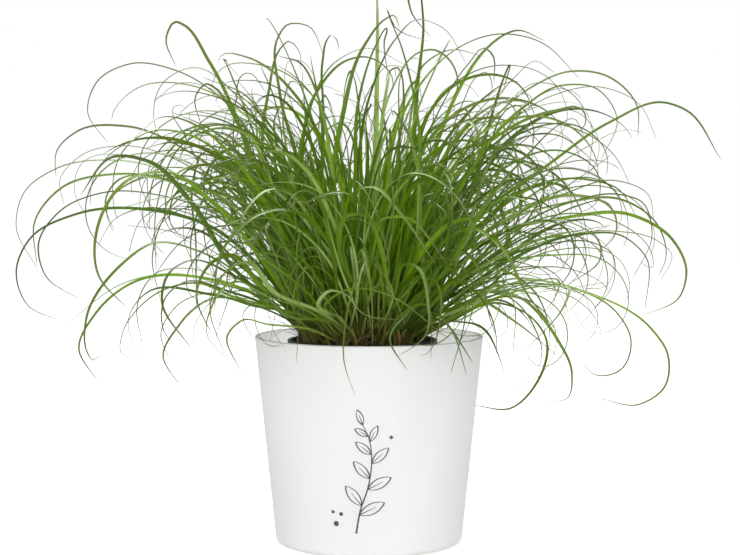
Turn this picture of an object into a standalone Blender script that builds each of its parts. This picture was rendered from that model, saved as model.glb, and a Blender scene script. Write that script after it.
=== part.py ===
"""A potted umbrella sedge: a clump of grass-like shoots in a nursery pot, inside a white tapered cachepot.

Metres, +Z up. The origin is under the middle of the cachepot, on the surface that it stands on, and -Y is the front.
The leaves are placed from points read on the photograph, by the camera that took it, and from a rule of growth where
the photograph doesn't show them.
"""

import math
import random

import bmesh
import bpy
import numpy as np
from mathutils import Matrix, Vector
from mathutils.kdtree import KDTree

# The cachepot
POT_RIM_RADIUS = 0.070
POT_FOOT_RADIUS = 0.0572
POT_HEIGHT = 0.126
POT_WALL = 0.0026
POT_FLOOR = 0.003
POT_FOOT_ROUND = 0.0036
POT_INSIDE_ROUND = 0.003
POT_SIDES = 48

# The nursery pot, which stands on the cachepot's floor a little left of its middle
NURSERY_MIDDLE = Vector((-0.004, 0.0, 0.0))
NURSERY_RIM_RADIUS = 0.046
NURSERY_RIM_DEPTH = 0.007
NURSERY_LIP = 0.0011
NURSERY_FOOT_RADIUS = 0.034
NURSERY_WALL = 0.0012
NURSERY_TOP = 0.1236
NURSERY_SIDES = 32

# What touches keeps this much room
GAP = 0.0003

# The soil
SOIL_EDGE_DROP = 0.0022
SOIL_MOUND = 0.0040
SOIL_RINGS = (1.0, 0.72, 0.40)

# The camera of the photograph: its distance in front of the origin, its height and how far down it looks. The focal
# length, the middle and the row where the leaves rise from the soil are in pixels of the photograph.
CAMERA_DISTANCE = 1.063
CAMERA_HEIGHT = 0.2275
CAMERA_DOWN = 0.0621
FOCAL = 1738.0
MIDDLE_U = 369.0
MIDDLE_V = 277.5
SOIL_V = 332.0

# The shoots stand on the soil in rings: each ring's radius and how many shoots it has
RINGS = ((0.0, 1), (0.0095, 6), (0.0185, 11), (0.0275, 14), (0.0370, 18))
FOOT_STRAY = 0.12
LEAVES_ON_SHOOT = 3
SHEATH_HEIGHT = 0.013
SHEATH_FOOT_RADIUS = 0.0029
SHEATH_TOP_RADIUS = 0.0025
SHEATH_SIDES = 6
SHEATH_INSIDE = 0.003
APART_IN_SHEATH = 0.0017

# The blades: a three-sided section, flat above and keeled below. It widens from its foot until OPEN_FROM of the
# length, and narrows to a thread from TAPER_FROM on.
KEEL = 0.8
FOOT_WIDTH = 0.35
TIP_WIDTH = 0.07
OPEN_FROM = 0.3
TAPER_FROM = 0.38

# A blade is straight between stations, which lie closer together where it turns: a turn of 1 radian counts as much as
# TURN_WEIGHT of length, and each run has a weight of about RUN_WEIGHT
TURN_WEIGHT = 0.06
RUN_WEIGHT = 0.066
FEWEST_RUNS = 4
MOST_RUNS = 9
TWIST = 70.0

# Leaves as the photograph shows them: name, greatest width in mm, how far its tip comes forward (minus) or goes back
# (plus) from its foot in mm, and the pixels that it passes, from the soil to its tip.
SEEN_LEAVES = (
    ("left_1", 2.4, -40, (240, 190, 170, 143, 110, 125, 65, 139, 53, 170, 56, 178)),
    ("left_2", 1.6, 70, (235, 205, 160, 153, 105, 147, 67, 167, 58, 190, 64, 206)),
    ("left_3", 2.4, 30, (240, 215, 165, 170, 105, 160, 60, 167, 22, 196, 16, 225, 38, 270)),
    ("left_4", 2.6, -60, (240, 224, 170, 181, 110, 175, 60, 189, 33, 227, 37, 266)),
    ("left_5", 2.4, 60, (240, 230, 172, 198, 118, 191, 65, 207, 38, 248, 50, 282, 79, 299)),
    ("left_6", 3.4, -25, (250, 258, 190, 217, 130, 210, 65, 218, 20, 253, 17, 282, 40, 316, 60, 321)),
    ("left_7", 4.2, -90, (250, 290, 200, 215, 150, 162, 118, 155, 85, 184, 79, 197)),
    ("left_8", 3.6, -85, (240, 236, 190, 184, 160, 171, 122, 185, 100, 220, 96, 265, 112, 299, 128, 309)),
    ("left_9", 1.6, 100, (225, 242, 165, 210, 128, 211, 100, 237, 96, 250)),
    ("left_10", 2.2, -120, (240, 240, 190, 200, 138, 201, 120, 208)),
    ("left_11", 2.4, 80, (240, 268, 190, 240, 150, 225, 126, 225)),
    ("left_12", 3.0, -50, (250, 285, 190, 248, 150, 244, 105, 288, 84, 343, 94, 361, 104, 351)),
    ("left_13", 2.8, 50, (250, 292, 185, 276, 140, 280, 94, 316, 79, 352, 99, 383)),
    ("left_14", 2.4, 110, (240, 290, 190, 276, 150, 275, 100, 296, 68, 323)),
    ("left_15", 4.0, -90, (275, 300, 230, 275, 180, 263, 161, 290, 174, 327, 192, 350)),
    ("left_16", 1.8, 120, (230, 284, 185, 268, 155, 274, 138, 302, 137, 330, 143, 348)),
    ("left_17", 1.8, -120, (240, 300, 195, 283, 168, 290, 127, 322, 121, 353, 148, 362)),
    ("left_18", 2.2, 110, (250, 304, 190, 297, 165, 322, 161, 345, 170, 361)),
    ("left_19", 2.4, -130, (260, 308, 215, 298, 172, 337, 163, 360, 182, 388)),
    ("left_20", 2.6, 90, (262, 250, 240, 190, 205, 152, 196, 170, 196, 240, 196, 322)),
    ("left_21", 3.0, -110, (278, 296, 240, 262, 217, 285, 210, 318, 225, 356)),
    ("left_22", 2.2, 120, (268, 300, 240, 275, 229, 295, 221, 328, 215, 340)),
    ("left_23", 2.4, -120, (290, 318, 262, 300, 242, 322, 254, 341)),
    ("left_24", 3.6, -95, (280, 330, 250, 318, 227, 335, 229, 352, 243, 375)),
    ("high_1", 5.5, -40, (290, 290, 262, 220, 240, 130, 200, 49, 175, 22, 166, 38, 177, 69)),
    ("high_2", 2.2, 60, (282, 210, 235, 112, 180, 72, 135, 63, 94, 86, 88, 115, 108, 143)),
    ("high_3", 2.2, 55, (268, 200, 230, 108, 195, 82, 162, 91, 152, 103)),
    ("high_4", 2.6, -60, (275, 220, 230, 112, 205, 84, 196, 95, 202, 128)),
    ("high_5", 2.4, 80, (282, 200, 245, 95, 215, 80, 202, 77)),
    ("high_6", 2.4, -70, (282, 235, 235, 130, 200, 124, 168, 146, 162, 154)),
    ("high_7", 3.4, -60, (285, 255, 230, 128, 195, 134, 162, 190, 152, 235, 156, 274)),
    ("high_8", 3.8, 45, (264, 260, 240, 190, 234, 120, 247, 73, 263, 87, 268, 95)),
    ("high_9", 2.4, 60, (312, 250, 300, 170, 279, 80, 287, 25, 306, 25, 325, 58)),
    ("high_10", 2.6, 60, (285, 255, 262, 150, 268, 95, 291, 42, 303, 60, 301, 72)),
    ("high_11", 3.4, -60, (319, 300, 318, 230, 321, 110, 310, 54)),
    ("high_12", 2.6, 50, (305, 240, 300, 160, 318, 92, 350, 51, 378, 49, 408, 66)),
    ("high_13", 2.2, -60, (308, 260, 300, 170, 322, 85, 362, 56, 394, 82, 355, 116)),
    ("top_1", 3.4, -30, (336, 250, 335, 160, 350, 90, 380, 24, 394, 15, 400, 30)),
    ("top_2", 3.2, -35, (355, 250, 358, 150, 364, 75, 387, 28, 382, 60, 388, 75)),
    ("top_3", 3.0, 40, (356, 250, 362, 150, 385, 57, 419, 19, 446, 30, 467, 65)),
    ("top_4", 3.0, -85, (425, 300, 420, 240, 410, 70, 388, 11, 398, 31, 430, 42)),
    ("top_5", 3.6, 20, (395, 240, 412, 160, 419, 60, 420, -10, 414, -25, 409, -5, 415, 22, 431, 38)),
    ("top_6", 4.2, -60, (396, 290, 400, 240, 432, 125, 465, 68, 486, 48, 497, 72, 494, 85)),
    ("top_7", 2.2, 40, (402, 260, 412, 110, 421, 68, 455, 49, 486, 57)),
    ("top_8", 4.4, -40, (440, 290, 470, 200, 492, 115, 509, 66, 502, 95)),
    ("right_1", 2.8, 20, (410, 260, 440, 190, 500, 115, 557, 74, 605, 75, 641, 120, 638, 138)),
    ("right_2", 3.6, -20, (430, 270, 480, 215, 560, 157, 615, 120, 676, 104, 713, 150, 722, 161)),
    ("right_3", 2.2, -80, (440, 230, 500, 133, 555, 87, 597, 89, 617, 118, 600, 162)),
    ("right_4", 1.8, 70, (430, 230, 500, 130, 560, 93, 615, 90, 650, 117, 657, 140)),
    ("right_5", 1.8, 70, (462, 190, 510, 82, 538, 61, 556, 74)),
    ("right_6", 3.8, -100, (440, 280, 500, 185, 553, 132, 572, 118, 586, 140)),
    ("right_7", 1.8, 80, (450, 220, 505, 108, 540, 82, 575, 96, 594, 140, 588, 175)),
    ("right_8", 3.6, -70, (450, 250, 492, 140, 515, 105, 534, 128, 531, 160)),
    ("right_9", 2.4, 60, (440, 262, 500, 200, 555, 183, 605, 182, 635, 208, 638, 220)),
    ("right_10", 2.6, -50, (445, 268, 500, 215, 570, 193, 625, 182, 654, 203, 654, 222)),
    ("right_11", 1.8, 120, (460, 220, 520, 138, 560, 136, 600, 167)),
    ("right_12", 2.6, 20, (440, 282, 500, 235, 560, 219, 640, 218, 685, 260, 684, 290, 636, 318)),
    ("right_13", 2.2, -80, (450, 290, 500, 257, 550, 236, 612, 225)),
    ("right_14", 2.2, 90, (455, 302, 500, 270, 550, 247, 612, 225)),
    ("right_15", 3.4, -60, (460, 297, 520, 255, 560, 241, 612, 232, 644, 253, 649, 285, 645, 313)),
    ("right_16", 1.6, 80, (450, 288, 540, 243, 600, 232, 640, 234, 672, 255, 660, 282)),
    ("right_17", 1.6, -70, (455, 282, 540, 215, 600, 196, 640, 200, 652, 230, 632, 280)),
    ("right_18", 2.4, -40, (455, 312, 505, 283, 555, 283, 620, 310, 665, 345, 664, 388, 632, 406, 598, 398)),
    ("right_19", 4.6, -110, (425, 290, 450, 236, 480, 230, 515, 268, 545, 322, 560, 335)),
    ("right_20", 2.0, 110, (460, 320, 520, 291, 570, 290, 609, 282)),
    ("right_21", 2.0, -100, (470, 272, 520, 226, 560, 219, 602, 254, 588, 272, 565, 287)),
    ("right_22", 1.8, 120, (470, 282, 540, 240, 583, 240, 584, 268, 565, 290)),
    ("right_23", 2.4, -120, (470, 312, 530, 288, 570, 290, 553, 322, 523, 353)),
    ("right_24", 1.6, 120, (480, 292, 550, 255, 577, 275, 591, 313)),
    ("right_25", 1.8, 80, (470, 292, 540, 247, 590, 240, 608, 280, 580, 327)),
    ("right_26", 2.2, -130, (465, 312, 502, 286, 517, 325, 513, 355)),
    ("right_27", 3.4, -60, (445, 322, 470, 300, 500, 312, 540, 341, 560, 358)),
    ("right_28", 2.4, -90, (460, 312, 500, 290, 540, 320, 572, 375, 566, 400, 545, 402)),
    ("right_29", 2.4, -80, (450, 322, 500, 303, 545, 335, 543, 370, 500, 411, 473, 405)),
    ("right_30", 2.2, -110, (430, 328, 465, 323, 494, 342, 506, 375)),
    ("right_31", 6.5, -60, (430, 300, 447, 270, 470, 235, 503, 170, 525, 136, 548, 122)),
    ("front_1", 3.6, -110, (395, 296, 408, 263, 420, 270, 427, 310, 419, 345, 397, 357)),
    ("front_2", 2.2, -112, (412, 318, 412, 306, 403, 322, 394, 355, 408, 371)),
    ("front_3", 3.6, -120, (428, 292, 447, 264, 457, 275, 460, 345, 450, 376)),
    ("front_4", 2.2, -100, (420, 322, 440, 320, 457, 342, 467, 376)),
    ("front_5", 2.2, -110, (425, 312, 442, 319, 457, 338, 473, 363)),
    ("front_6", 2.0, -105, (421, 306, 428, 305, 431, 325, 431, 360)),
    ("middle_1", 4.0, -130, (338, 250, 350, 215, 362, 214, 380, 238, 390, 280, 382, 312)),
    ("middle_2", 3.2, -100, (345, 250, 358, 190, 370, 187, 415, 235, 437, 266)),
    ("middle_3", 3.2, -100, (302, 290, 276, 232, 267, 222, 270, 245, 283, 275)),
    ("middle_4", 3.0, -120, (318, 305, 338, 289, 355, 305, 385, 321, 400, 320)),
    ("middle_5", 3.0, -110, (335, 280, 312, 208, 300, 200, 285, 215, 275, 228)),
    ("middle_6", 3.4, -100, (302, 306, 275, 262, 262, 258, 245, 268, 232, 283)),
)

# Leaves that the photograph hides or shows only in part grow by this rule. Front leaves are kept shorter, as seen.
GROWTH_SEED = 12
GROWN_LENGTH = (0.17, 0.31)
GROWN_FRONT_SHARE = 0.72
GROWN_LEAN = (4.0, 38.0)
GROWN_TURN = (75.0, 215.0)
GROWN_TURN_POWER = (1.6, 2.8)
GROWN_WIDTH = (1.9, 3.6)
GROWN_STEPS = 12
GROWN_SWING = 0.8
GROWN_SIDESTEP = 7.0
DIRECTIONS_TRIED = 12
DIRECTION_WIDTH = 0.3

# The shoot that a leaf grows from depends on its aim, its place this far along it, and on how much it leans there as
# seen from a point on the axis at the height LEAN_FROM
AIM_SHARE = 0.6
LEAN_FROM = 0.074

# A leaf that would touch another one goes forward or back by these steps, swings out sooner or later by these eases,
# or leaves its sheath more or less upright by these rises, until it is clear
SIDESTEP = 0.006
SIDESTEPS = 9
EASES = (1.6, 1.25, 2.1, 1.0, 2.7)
RISES = (0.9, 0.5, 1.5, 0.2)
CLEARANCE = 0.0004
SIBLING_EASE = 0.0003
SAMPLE_SPACING = 0.0022
LOOK_AROUND = 0.005

WHITE = (0.90, 0.90, 0.89)
BLACK = (0.020, 0.019, 0.018)
EARTH = (0.045, 0.030, 0.020)
GREEN = (0.115, 0.245, 0.030)


def collection(name):
    made = bpy.data.collections.new(name)
    bpy.context.scene.collection.children.link(made)
    return made


def material(name, colour, roughness):
    made = bpy.data.materials.new(name)
    made.use_nodes = True
    shader = made.node_tree.nodes["Principled BSDF"]
    shader.inputs["Base Color"].default_value = (*colour, 1.0)
    shader.inputs["Roughness"].default_value = roughness
    shader.inputs["Metallic"].default_value = 0.0
    return made


def arc(middle_x, middle_z, radius, start, end, steps):
    """Points of an arc from one angle to another, in degrees from +X towards +Z."""
    angles = [math.radians(start + (end - start) * i / steps) for i in range(steps + 1)]
    return [(middle_x + radius * math.cos(a), middle_z + radius * math.sin(a)) for a in angles]


def turned(name, profile, sides, finish, place, home):
    """A solid of revolution. The profile starts and ends on the axis and runs down its outer side."""
    mesh = bpy.data.meshes.new(name)
    points = [(x, 0.0, z) for x, z in profile]
    mesh.from_pydata(points, [(i, i + 1) for i in range(len(points) - 1)], [])
    made = bpy.data.objects.new(name, mesh)
    made.location = place
    home.objects.link(made)
    screw = made.modifiers.new("turn", "SCREW")
    screw.steps = sides
    screw.render_steps = sides
    screw.use_merge_vertices = True
    screw.merge_threshold = 0.00001
    screw.use_smooth_shade = True
    mesh.materials.append(finish)
    return made


def pot_wall_radius(z):
    """The cachepot's outer radius at a height, on its straight side."""
    return POT_FOOT_RADIUS + (POT_RIM_RADIUS - POT_FOOT_RADIUS) * z / POT_HEIGHT


def make_pot(home):
    half_wall = POT_WALL / 2
    rim_z = POT_HEIGHT - half_wall
    inside = pot_wall_radius(POT_FLOOR) - POT_WALL - POT_INSIDE_ROUND
    foot = pot_wall_radius(POT_FOOT_ROUND) - POT_FOOT_ROUND
    profile = [(0.0, POT_FLOOR)]
    profile += arc(inside, POT_FLOOR + POT_INSIDE_ROUND, POT_INSIDE_ROUND, -90, 0, 2)
    profile += arc(POT_RIM_RADIUS - half_wall, rim_z, half_wall, 180, 0, 4)
    profile += arc(foot, POT_FOOT_ROUND, POT_FOOT_ROUND, 0, -90, 3)
    profile.append((0.0, 0.0))
    return turned("pot", profile, POT_SIDES, material("pot_white", WHITE, 0.16), (0, 0, 0), home)


def nursery_radius(z):
    """The nursery pot's outer radius at a height, below its rim."""
    top = NURSERY_RIM_RADIUS - NURSERY_LIP
    foot_z = POT_FLOOR + GAP
    return NURSERY_FOOT_RADIUS + (top - NURSERY_FOOT_RADIUS) * (z - foot_z) / (NURSERY_TOP - foot_z)


def make_nursery_pot(home):
    foot_z = POT_FLOOR + GAP
    floor_z = foot_z + NURSERY_WALL
    lip_z = NURSERY_TOP - NURSERY_RIM_DEPTH
    profile = (
        (0.0, floor_z),
        (nursery_radius(floor_z) - NURSERY_WALL, floor_z),
        (nursery_radius(NURSERY_TOP) - NURSERY_WALL, NURSERY_TOP),
        (NURSERY_RIM_RADIUS, NURSERY_TOP),
        (NURSERY_RIM_RADIUS, lip_z),
        (nursery_radius(lip_z), lip_z - NURSERY_LIP),
        (nursery_radius(foot_z), foot_z),
        (0.0, foot_z),
    )
    finish = material("nursery_black", BLACK, 0.55)
    return turned("nursery_pot", profile, NURSERY_SIDES, finish, NURSERY_MIDDLE, home)


def soil_radius(z):
    return nursery_radius(z) - NURSERY_WALL - GAP


def soil_height(from_middle):
    """The height of the mounded soil at a distance from its middle."""
    edge = NURSERY_TOP - SOIL_EDGE_DROP
    share = min(from_middle / soil_radius(edge), 1.0)
    return edge + SOIL_MOUND * (1 - share**2)


def make_soil(home):
    edge = NURSERY_TOP - SOIL_EDGE_DROP
    foot_z = POT_FLOOR + NURSERY_WALL + 2 * GAP
    profile = [(0.0, soil_height(0.0))]
    for share in reversed(SOIL_RINGS):
        radius = share * soil_radius(edge)
        profile.append((radius, soil_height(radius)))
    profile += [(soil_radius(foot_z), foot_z), (0.0, foot_z)]
    return turned("soil", profile, NURSERY_SIDES, material("soil_dark", EARTH, 0.95), NURSERY_MIDDLE, home)


def seen_point(u, v, y):
    """The point at depth y that the photograph shows at pixel u, v."""
    down_cos = math.cos(CAMERA_DOWN)
    down_sin = math.sin(CAMERA_DOWN)
    slope = (MIDDLE_V - v) / FOCAL
    ahead = y + CAMERA_DISTANCE
    rise = ahead * (slope * down_cos - down_sin) / (down_cos + slope * down_sin)
    depth = ahead * down_cos - rise * down_sin
    return np.array(((u - MIDDLE_U) / FOCAL * depth, y, CAMERA_HEIGHT + rise))


def lengths_along(points):
    steps = np.linalg.norm(np.diff(points, axis=0), axis=1)
    return np.concatenate(([0.0], np.cumsum(steps)))


def smooth_curve(points, start):
    """Close points along the smooth curve through the points given, which leaves the first one along start."""
    gaps = np.diff(lengths_along(points))
    slopes = np.diff(points, axis=0) / gaps[:, None]
    tangents = np.empty_like(points)
    tangents[0] = start
    tangents[-1] = slopes[-1]
    weights = (gaps[1:] / (gaps[:-1] + gaps[1:]))[:, None]
    tangents[1:-1] = slopes[:-1] * weights + slopes[1:] * (1 - weights)
    found = []
    for i, gap in enumerate(gaps):
        t = np.linspace(0, 1, max(int(gap / SAMPLE_SPACING), 2), endpoint=False)[:, None]
        found.append(
            (2 * t**3 - 3 * t**2 + 1) * points[i]
            + (t**3 - 2 * t**2 + t) * gap * tangents[i]
            + (3 * t**2 - 2 * t**3) * points[i + 1]
            + (t**3 - t**2) * gap * tangents[i + 1]
        )
    return np.concatenate(found + [points[-1:]])


def stations_on(curve):
    """Points on the curve, closer together where it turns, and each one's share of the curve's length."""
    steps = np.diff(curve, axis=0)
    lengths = np.linalg.norm(steps, axis=1)
    headings = steps / lengths[:, None]
    cosines = np.clip((headings[1:] * headings[:-1]).sum(axis=1), -1, 1)
    turns = np.concatenate((np.arccos(cosines), [0.0]))
    weight = np.concatenate(([0.0], np.cumsum(lengths + TURN_WEIGHT * turns)))
    share = lengths_along(curve)
    share /= share[-1]
    runs = min(max(round(weight[-1] / RUN_WEIGHT), FEWEST_RUNS), MOST_RUNS)
    wanted = np.linspace(0, weight[-1], runs + 1)
    points = np.stack([np.interp(wanted, weight, curve[:, axis]) for axis in range(3)], axis=1)
    return points, np.interp(wanted, weight, share)


def blade_width(share):
    """A blade's width at a share of its length, against its greatest width."""
    opening = np.clip(share / OPEN_FROM, 0, 1)
    opening = opening * opening * (3 - 2 * opening)
    closing = np.clip((1 - share) / (1 - TAPER_FROM), 0, 1)
    return (FOOT_WIDTH + (1 - FOOT_WIDTH) * opening) * (TIP_WIDTH + (1 - TIP_WIDTH) * closing) * (share < 1)


class SeenLeaf:
    """A leaf that passes the pixels read on the photograph, at a depth that grows along it."""

    def __init__(self, name, width_mm, forward_mm, pixels):
        self.name = name
        self.width = width_mm / 1000
        self.forward = forward_mm / 1000
        self.pixels = np.array(pixels, float).reshape(-1, 2)

    def aim(self):
        index = round(AIM_SHARE * (len(self.pixels) - 1))
        return seen_point(*self.pixels[index], 0.5 * self.forward)

    def curve(self, foot, sidestep, ease, rise):
        start = (MIDDLE_U + foot[0] / CAMERA_DISTANCE * FOCAL, SOIL_V)
        share = lengths_along(np.concatenate(([start], self.pixels)))[1:]
        share /= share[-1]
        depths = foot[1] + (self.forward + sidestep) * np.sin(math.pi / 2 * share) ** ease
        points = [foot] + [seen_point(u, v, y) for (u, v), y in zip(self.pixels, depths)]
        points = np.array(points)
        start = points[1] - points[0]
        start = start / np.linalg.norm(start) + np.array((0.0, 0.0, rise))
        return smooth_curve(points, start / np.linalg.norm(start))


class GrownLeaf:
    """A leaf that leans out, grows straight and then arches over more and more towards its tip."""

    def __init__(self, name, draw, azimuth):
        self.name = name
        self.azimuth = azimuth
        front = max(0.0, -math.sin(azimuth))
        self.length = draw.uniform(*GROWN_LENGTH) * (1 - (1 - GROWN_FRONT_SHARE) * front)
        self.lean = math.radians(draw.uniform(*GROWN_LEAN))
        self.turn = math.radians(draw.uniform(*GROWN_TURN))
        self.power = draw.uniform(*GROWN_TURN_POWER)
        self.swing = draw.uniform(-GROWN_SWING, GROWN_SWING)
        self.width = draw.uniform(*GROWN_WIDTH) / 1000

    def aim(self):
        reach = AIM_SHARE * self.length
        out = math.sin(self.lean) * reach
        height = math.cos(self.lean) * reach + NURSERY_TOP
        return np.array((math.cos(self.azimuth) * out, math.sin(self.azimuth) * out, height))

    def curve(self, foot, sidestep, ease, rise):
        points = [foot]
        step = self.length / GROWN_STEPS
        for i in range(GROWN_STEPS):
            azimuth = self.azimuth + sidestep * GROWN_SIDESTEP + self.swing * (i / GROWN_STEPS) ** 2
            power = self.power * ease / EASES[0]
            lean = self.lean * 2 / (1 + rise / RISES[0])
            tilt = lean + self.turn * ((i + 0.5) / GROWN_STEPS) ** power
            out = math.sin(tilt) * step
            way = (math.cos(azimuth) * out, math.sin(azimuth) * out, math.cos(tilt) * step)
            points.append(points[-1] + np.array(way))
        return smooth_curve(np.array(points), np.array((0.0, 0.0, 1.0)))


def all_leaves(count):
    """The seen leaves, then grown ones that fill up the directions which the seen ones leave thin."""
    draw = random.Random(GROWTH_SEED)
    leaves = [SeenLeaf(*row) for row in SEEN_LEAVES]
    taken = [math.atan2(aim[1], aim[0]) for aim in (leaf.aim() for leaf in leaves)]
    while len(leaves) < count:
        tries = [draw.uniform(-math.pi, math.pi) for _ in range(DIRECTIONS_TRIED)]
        azimuth = max(tries, key=lambda a: room_round(a, taken))
        taken.append(azimuth)
        leaves.append(GrownLeaf(f"grown_{len(leaves)}", draw, azimuth))
    for leaf in leaves:
        leaf.twist = math.radians(draw.uniform(-TWIST, TWIST))
    return leaves


def room_round(azimuth, taken):
    """How empty a direction is: the less, the more taken directions lie close to it."""
    apart = [math.remainder(azimuth - other, math.tau) / DIRECTION_WIDTH for other in taken]
    return -sum(math.exp(-(gap**2)) for gap in apart)


def lean_of(leaf):
    x, y, z = leaf.aim()
    return math.hypot(x, y) / (z - LEAN_FROM)


def azimuth_of(leaf):
    x, y, _ = leaf.aim()
    return math.atan2(y, x)


def shoots_of(leaves):
    """(foot, leaves) of each shoot: upright leaves grow in the inner rings, and each shoot takes neighbours."""
    draw = random.Random(GROWTH_SEED)
    leaves = sorted(leaves, key=lean_of)
    shoots = []
    for radius, count in RINGS:
        ring = sorted(leaves[: count * LEAVES_ON_SHOOT], key=azimuth_of)
        leaves = leaves[count * LEAVES_ON_SHOOT :]
        for i in range(count):
            mine = ring[i * LEAVES_ON_SHOOT : (i + 1) * LEAVES_ON_SHOOT]
            azimuth = -math.pi + math.tau * (i + 0.5 + draw.uniform(-FOOT_STRAY, FOOT_STRAY)) / count
            away = radius * (1 + draw.uniform(-FOOT_STRAY, FOOT_STRAY) / 3)
            place = NURSERY_MIDDLE + Vector((math.cos(azimuth), math.sin(azimuth), 0)) * away
            place.z = soil_height(away) + GAP
            shoots.append((np.array(place), mine))
    return shoots


class Clearances:
    """What has been placed, as close points with a radius each, to keep the shoots apart."""

    def __init__(self):
        self.points = []
        self.tree = None

    def add(self, owner, points, radii):
        self.points += [(owner, Vector(point), radius) for point, radius in zip(points, radii)]

    def settle(self):
        self.tree = KDTree(len(self.points))
        for i, (_, point, _) in enumerate(self.points):
            self.tree.insert(point, i)
        self.tree.balance()

    def room(self, owner, sheath_top, points, radii):
        """The least room between these points and what was placed before, below nought where they meet.

        Leaves of one shoot may meet inside their sheath, and above it they need less room.
        """
        least = LOOK_AROUND
        for point, radius in zip(points, radii):
            for found, index, distance in self.tree.find_range(Vector(point), radius + LOOK_AROUND):
                other, _, other_radius = self.points[index]
                if other != owner:
                    least = min(least, distance - radius - other_radius)
                elif max(found.z, point[2]) > sheath_top:
                    least = min(least, distance - radius - other_radius + SIBLING_EASE)
        return least


def close_points(stations, half_widths):
    """Close points along the straight runs between stations, with the half-width at each."""
    lengths = lengths_along(stations)
    wanted = np.linspace(0, lengths[-1], int(lengths[-1] / SAMPLE_SPACING) + 2)
    points = np.stack([np.interp(wanted, lengths, stations[:, axis]) for axis in range(3)], axis=1)
    return points, np.interp(wanted, lengths, half_widths)


def sidesteps():
    """Every way to lead a leaf round its neighbours, the smallest change first."""
    steps = [0.0] + [sign * i * SIDESTEP for i in range(1, SIDESTEPS) for sign in (1, -1)]
    return [(step, ease, rise) for rise in RISES for ease in EASES for step in steps]


def rooted(shoots):
    """(shoot's number, foot on its sheath, leaf) of every leaf: those on the photograph first, from wide to thin."""
    rows = []
    for number, (foot, leaves) in enumerate(shoots):
        out = sum(leaf.aim() for leaf in leaves) * (1, 1, 0)
        side = np.cross((0, 0, 1), out / np.linalg.norm(out))
        leaves = sorted(leaves, key=lambda leaf: leaf.aim() @ side)
        for rank, leaf in enumerate(leaves):
            apart = (rank - (len(leaves) - 1) / 2) * APART_IN_SHEATH
            rows.append((number, foot + side * apart + (0, 0, SHEATH_INSIDE), leaf))
    return sorted(rows, key=lambda row: (isinstance(row[2], GrownLeaf), -row[2].width))


def clear_way(placed, number, start, leaf):
    """(stations, half-widths, close points) of the leaf on the first way that is clear, or None."""
    sheath_top = start[2] + SHEATH_HEIGHT - SHEATH_INSIDE
    for way in sidesteps():
        stations, share = stations_on(leaf.curve(start, *way))
        half_widths = leaf.width / 2 * blade_width(share)
        close = close_points(stations, half_widths)
        if placed.room(number, sheath_top, *close) > CLEARANCE:
            return stations, half_widths, close
    return None


def place_leaves(shoots):
    """For each shoot, (leaf, stations, half-widths) of its leaves, clear of every other shoot."""
    placed = Clearances()
    for number, (foot, _) in enumerate(shoots):
        heights = np.arange(0, SHEATH_HEIGHT, SAMPLE_SPACING)
        placed.add(number, foot + np.outer(heights, (0, 0, 1)), [SHEATH_FOOT_RADIUS] * len(heights))
    placed.settle()
    found = [[] for _ in shoots]
    for number, start, leaf in rooted(shoots):
        way = clear_way(placed, number, start, leaf)
        if way is None:
            print(leaf.name, "has no clear way")
            continue
        stations, half_widths, close = way
        found[number].append((leaf, stations, half_widths))
        placed.add(number, *close)
        placed.settle()
    return found


def blade_section(home):
    """The blades' section for a half-width of 1: its width lies across the leaf's own upright plane."""
    curve = bpy.data.curves.new("blade_section", "CURVE")
    curve.dimensions = "2D"
    spline = curve.splines.new("POLY")
    spline.points.add(2)
    for point, (x, y) in zip(spline.points, ((0.0, 1.0), (0.0, -1.0), (-KEEL, 0.0))):
        point.co = (x, y, 0.0, 1.0)
    spline.use_cyclic_u = True
    return helper("blade_section", curve, home)


def helper(name, data, home):
    made = bpy.data.objects.new(name, data)
    made.hide_render = True
    made.display_type = "WIRE"
    home.objects.link(made)
    return made


def make_blade(leaf, stations, half_widths, section, home):
    """A blade as a closed mesh: the section swept along its stations, as wide as the half-widths say."""
    out = Vector(stations[-1] - stations[0])
    out.z = 0.0
    out.normalize()
    up = Vector((0.0, 0.0, 1.0))
    frame = Matrix((up, out, up.cross(out))).transposed()
    curve = bpy.data.curves.new(leaf.name, "CURVE")
    curve.dimensions = "3D"
    curve.twist_mode = "MINIMUM"
    curve.bevel_mode = "OBJECT"
    curve.bevel_object = section
    curve.use_fill_caps = True
    spline = curve.splines.new("POLY")
    spline.points.add(len(stations) - 1)
    for i, point in enumerate(spline.points):
        point.co = (*(frame.transposed() @ Vector(stations[i])), 1.0)
        point.radius = half_widths[i]
        point.tilt = leaf.twist * i / (len(stations) - 1)
    swept = helper(leaf.name, curve, home)
    swept.matrix_world = frame.to_4x4()
    bpy.context.view_layer.update()
    mesh = bpy.data.meshes.new_from_object(swept.evaluated_get(bpy.context.evaluated_depsgraph_get()))
    closed = bmesh.new()
    closed.from_mesh(mesh)
    bmesh.ops.remove_doubles(closed, verts=closed.verts, dist=0.000001)
    closed.to_mesh(mesh)
    closed.free()
    blade = helper(leaf.name + "_blade", mesh, home)
    blade.matrix_world = swept.matrix_world
    bpy.data.objects.remove(swept)
    return blade


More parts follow.
